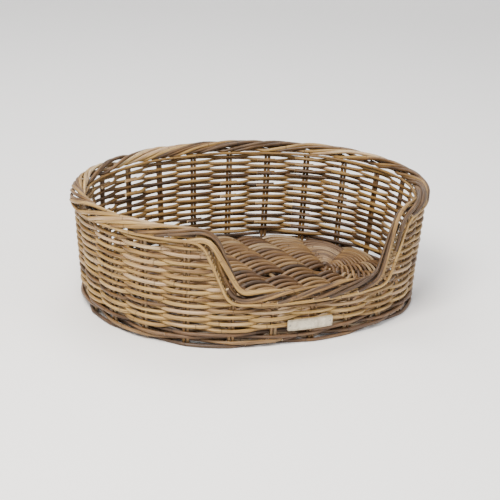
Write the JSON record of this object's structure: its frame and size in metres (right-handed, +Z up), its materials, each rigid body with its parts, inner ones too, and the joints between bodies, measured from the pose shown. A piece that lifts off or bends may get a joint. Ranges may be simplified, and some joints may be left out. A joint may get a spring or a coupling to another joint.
{
  "type": "wicker pet bed basket",
  "caption": "Oval open basket woven from round rattan rods, with a raised wall, a rolled rope-like border and a low entry cut into the front, for a small dog or a cat.",
  "frame": {"origin": "on the floor under the centre of the oval", "axes": "+Z up, +X along the oval's length, -Y towards the entry at the front"},
  "size_m": [0.6126, 0.5012, 0.1933],
  "materials": {
    "wall_rattan": "unpeeled kubu rattan, weathered khaki brown, satin",
    "foot_rattan": "thick unpeeled kubu rattan, satin",
    "border_rattan": "peeled and unpeeled rattan, pale tan, satin",
    "base_rattan": "thick kubu rattan, grey brown, satin",
    "stick_rattan": "dark kubu rattan sticks, dull",
    "label_metal": "brushed and slightly dull, blank",
    "pin_metal": "small round nail heads"
  },
  "bodies": {
    "root": {"weaver_row_01": "wall_rattan", "weaver_row_02": "wall_rattan", "weaver_row_03": "wall_rattan", "weaver_row_04": "wall_rattan", "weaver_row_05": "wall_rattan", "weaver_row_06": "wall_rattan", "weaver_row_07": "wall_rattan", "weaver_row_08": "wall_rattan", "weaver_row_09": "wall_rattan", "weaver_row_10": "wall_rattan", "weaver_row_11": "wall_rattan", "weaver_row_12": "wall_rattan", "weaver_row_13": "wall_rattan", "weaver_row_14": "wall_rattan", "weaver_row_15": "wall_rattan", "weaver_row_16": "wall_rattan", "weaver_row_17": "wall_rattan", "weaver_row_18": "wall_rattan", "weaver_row_19": "wall_rattan", "weaver_row_20": "wall_rattan", "weaver_row_21": "wall_rattan", "weaver_row_22": "wall_rattan", "weaver_row_23": "wall_rattan", "weaver_row_24": "wall_rattan", "weaver_row_25": "wall_rattan", "foot_rod_1": "foot_rattan", "foot_rod_2": "foot_rattan", "foot_rod_3": "foot_rattan", "foot_rod_4": "foot_rattan", "border_rod_1": "border_rattan", "border_rod_2": "border_rattan", "border_rod_3": "border_rattan", "border_rod_4": "border_rattan", "border_rod_5": "border_rattan", "border_rod_6": "border_rattan", "outer_edge_rod": "border_rattan", "inner_edge_rod": "border_rattan", "base_weaver_1": "base_rattan", "base_weaver_2": "base_rattan", "base_weaver_3": "base_rattan", "base_weaver_4": "base_rattan", "base_weaver_5": "base_rattan", "base_weaver_6": "base_rattan", "base_weaver_7": "base_rattan", "base_weaver_8": "base_rattan", "base_cross_sticks": "stick_rattan", "base_long_sticks": "stick_rattan", "base_end_sticks": "stick_rattan", "front_stakes": "stick_rattan", "right_stakes": "stick_rattan", "back_stakes": "stick_rattan", "left_stakes": "stick_rattan", "label_plate": "label_metal", "label_pins": "pin_metal"}
  },
  "joints": []
}
